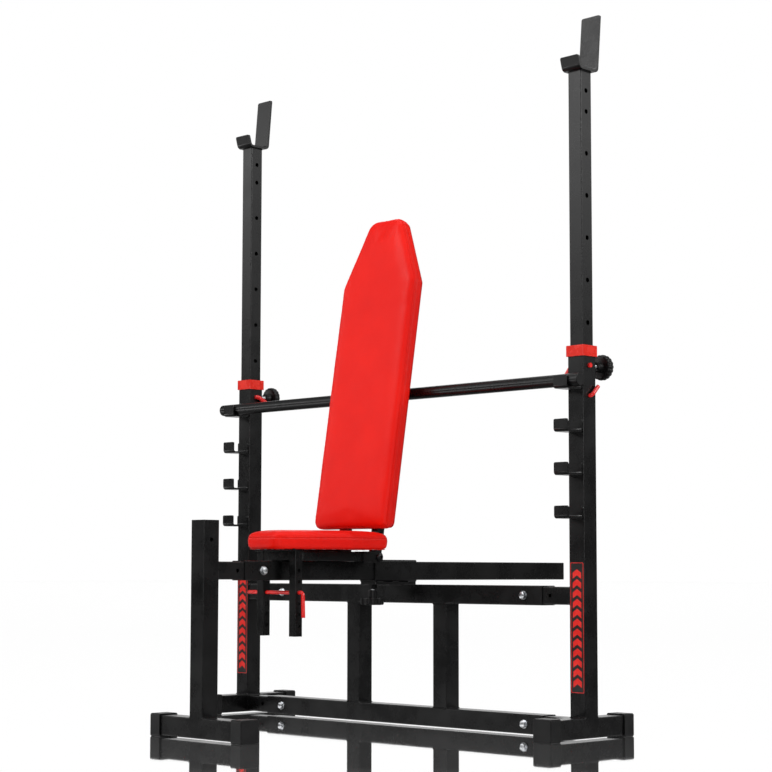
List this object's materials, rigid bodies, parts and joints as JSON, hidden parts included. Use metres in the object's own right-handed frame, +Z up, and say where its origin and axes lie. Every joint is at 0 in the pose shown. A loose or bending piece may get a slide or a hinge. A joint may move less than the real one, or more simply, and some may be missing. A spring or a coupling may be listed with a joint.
{
  "type": "adjustable bench press stand",
  "caption": "Adjustable press stand: telescoping posts with bar hooks, removable safety bar in catches, and a bench with hinged seat and leaning backrest on a sliding beam.",
  "frame": {"origin": "on the floor at the centre of the bounding box, between the two posts and 33.5 mm in front of their axes", "axes": "+X along the crossbars to the right-hand post, +Y along the bench from the seat to the free end of the beam, +Z up"},
  "size_m": [1.384, 1.387, 1.852],
  "materials": {
    "frame_black": "black satin powder coat on steel tube",
    "black_plastic": "black moulded plastic, satin",
    "zinc_steel": "bright zinc-plated steel",
    "black_steel": "blackened steel bolt",
    "red_plastic": "glossy red moulded plastic",
    "red_rod": "steel rod dipped in glossy red vinyl",
    "pad_red": "smooth red PVC-coated fabric over foam, soft sheen",
    "board": "black-faced board behind the foam"
  },
  "bodies": {
    "frame": {"foot_tube_left": "frame_black", "foot_tube_right": "frame_black", "foot_caps": "black_plastic", "post_left": "frame_black", "post_right": "frame_black", "lower_crossbar": "frame_black", "middle_crossbar": "frame_black", "crossbar_stubs": "frame_black", "crossbar_bolts": "zinc_steel", "centre_legs": "frame_black", "catches_left": "frame_black", "catches_right": "frame_black", "collar_left": "red_plastic", "collar_right": "red_plastic", "clamp_bosses": "frame_black", "saddle_sleeve": "frame_black", "saddle_base": "frame_black", "saddle_nut": "frame_black"},
    "upright_right": {"inner_upright_right": "frame_black", "hook_right": "frame_black"},
    "upright_left": {"inner_upright_left": "frame_black", "hook_left": "frame_black"},
    "height_lock_right": {"height_pin_right": "red_rod"},
    "height_lock_left": {"height_pin_left": "red_rod"},
    "lower_lock_right": {"lower_pin_right": "red_rod"},
    "lower_lock_left": {"lower_pin_left": "red_rod"},
    "clamp_right": {"clamp_screw_right": "zinc_steel", "clamp_knob_right": "black_plastic"},
    "clamp_left": {"clamp_screw_left": "zinc_steel", "clamp_knob_left": "black_plastic"},
    "safety_bar": {"safety_tube": "frame_black", "safety_plugs": "black_plastic"},
    "saddle_clamp": {"saddle_screw": "zinc_steel", "saddle_knob": "black_plastic"},
    "bench": {"bench_beam": "frame_black", "beam_plug": "black_plastic", "front_stub": "frame_black", "front_bolt": "zinc_steel", "front_post": "frame_black", "front_foot_tube": "frame_black", "front_foot_caps": "black_plastic", "pivot_tube": "frame_black", "pivot_bolt": "black_steel"},
    "seat": {"seat_rails": "frame_black", "seat_legs": "frame_black", "seat_leg_plugs": "black_plastic", "seat_cross_tube": "frame_black", "seat_flats": "frame_black", "seat_lugs": "frame_black", "seat_board": "board", "seat_pad": "pad_red"},
    "seat_lock": {"seat_pin": "red_rod"},
    "backrest": {"back_tubes": "frame_black", "back_tube_plugs": "black_plastic", "back_cross_tubes": "frame_black", "back_board": "board", "back_pad": "pad_red"}
  },
  "joints": [
    {"name": "upright_right_slide", "type": "slide", "parent": "frame", "child": "upright_right", "axis": [0, 0, 1], "range_m": [0, 0.2]},
    {"name": "upright_left_slide", "type": "slide", "parent": "frame", "child": "upright_left", "axis": [0, 0, 1], "range_m": [0, 0.2]},
    {"name": "height_pin_right_pull", "type": "slide", "parent": "frame", "child": "height_lock_right", "axis": [-1, 0, 0], "range_m": [0, 0.07]},
    {"name": "height_pin_left_pull", "type": "slide", "parent": "frame", "child": "height_lock_left", "axis": [1, 0, 0], "range_m": [0, 0.07]},
    {"name": "lower_pin_right_pull", "type": "slide", "parent": "frame", "child": "lower_lock_right", "axis": [1, 0, 0], "range_m": [0, 0.045]},
    {"name": "lower_pin_left_pull", "type": "slide", "parent": "frame", "child": "lower_lock_left", "axis": [-1, 0, 0], "range_m": [0, 0.045]},
    {"name": "clamp_right_turn", "type": "hinge", "parent": "frame", "child": "clamp_right", "pos_m": [0.643, 0.09, 0.9385], "axis": [0, 1, 0], "continuous": true},
    {"name": "clamp_left_turn", "type": "hinge", "parent": "frame", "child": "clamp_left", "pos_m": [-0.643, 0.09, 0.9385], "axis": [0, 1, 0], "continuous": true},
    {"name": "safety_bar_lift", "type": "slide", "parent": "frame", "child": "safety_bar", "axis": [0, 0.1616, 0.9869], "range_m": [0, 0.04]},
    {"name": "saddle_clamp_turn", "type": "hinge", "parent": "frame", "child": "saddle_clamp", "pos_m": [0, -0.0785, 0.35], "axis": [0, 0, 1], "continuous": true},
    {"name": "bench_slide", "type": "slide", "parent": "frame", "child": "bench", "axis": [0, -1, 0], "range_m": [0, 0.25]},
    {"name": "seat_tilt", "type": "hinge", "parent": "bench", "child": "seat", "pos_m": [0, -0.1325, 0.454], "axis": [-1, 0, 0], "range_deg": [0, 5]},
    {"name": "seat_pin_pull", "type": "slide", "parent": "seat", "child": "seat_lock", "axis": [1, 0, 0], "range_m": [0, 0.2]},
    {"name": "backrest_swing", "type": "hinge", "parent": "bench", "child": "backrest", "pos_m": [0, -0.1325, 0.454], "axis": [1, 0, 0], "range_deg": [0, 8]}
  ]
}
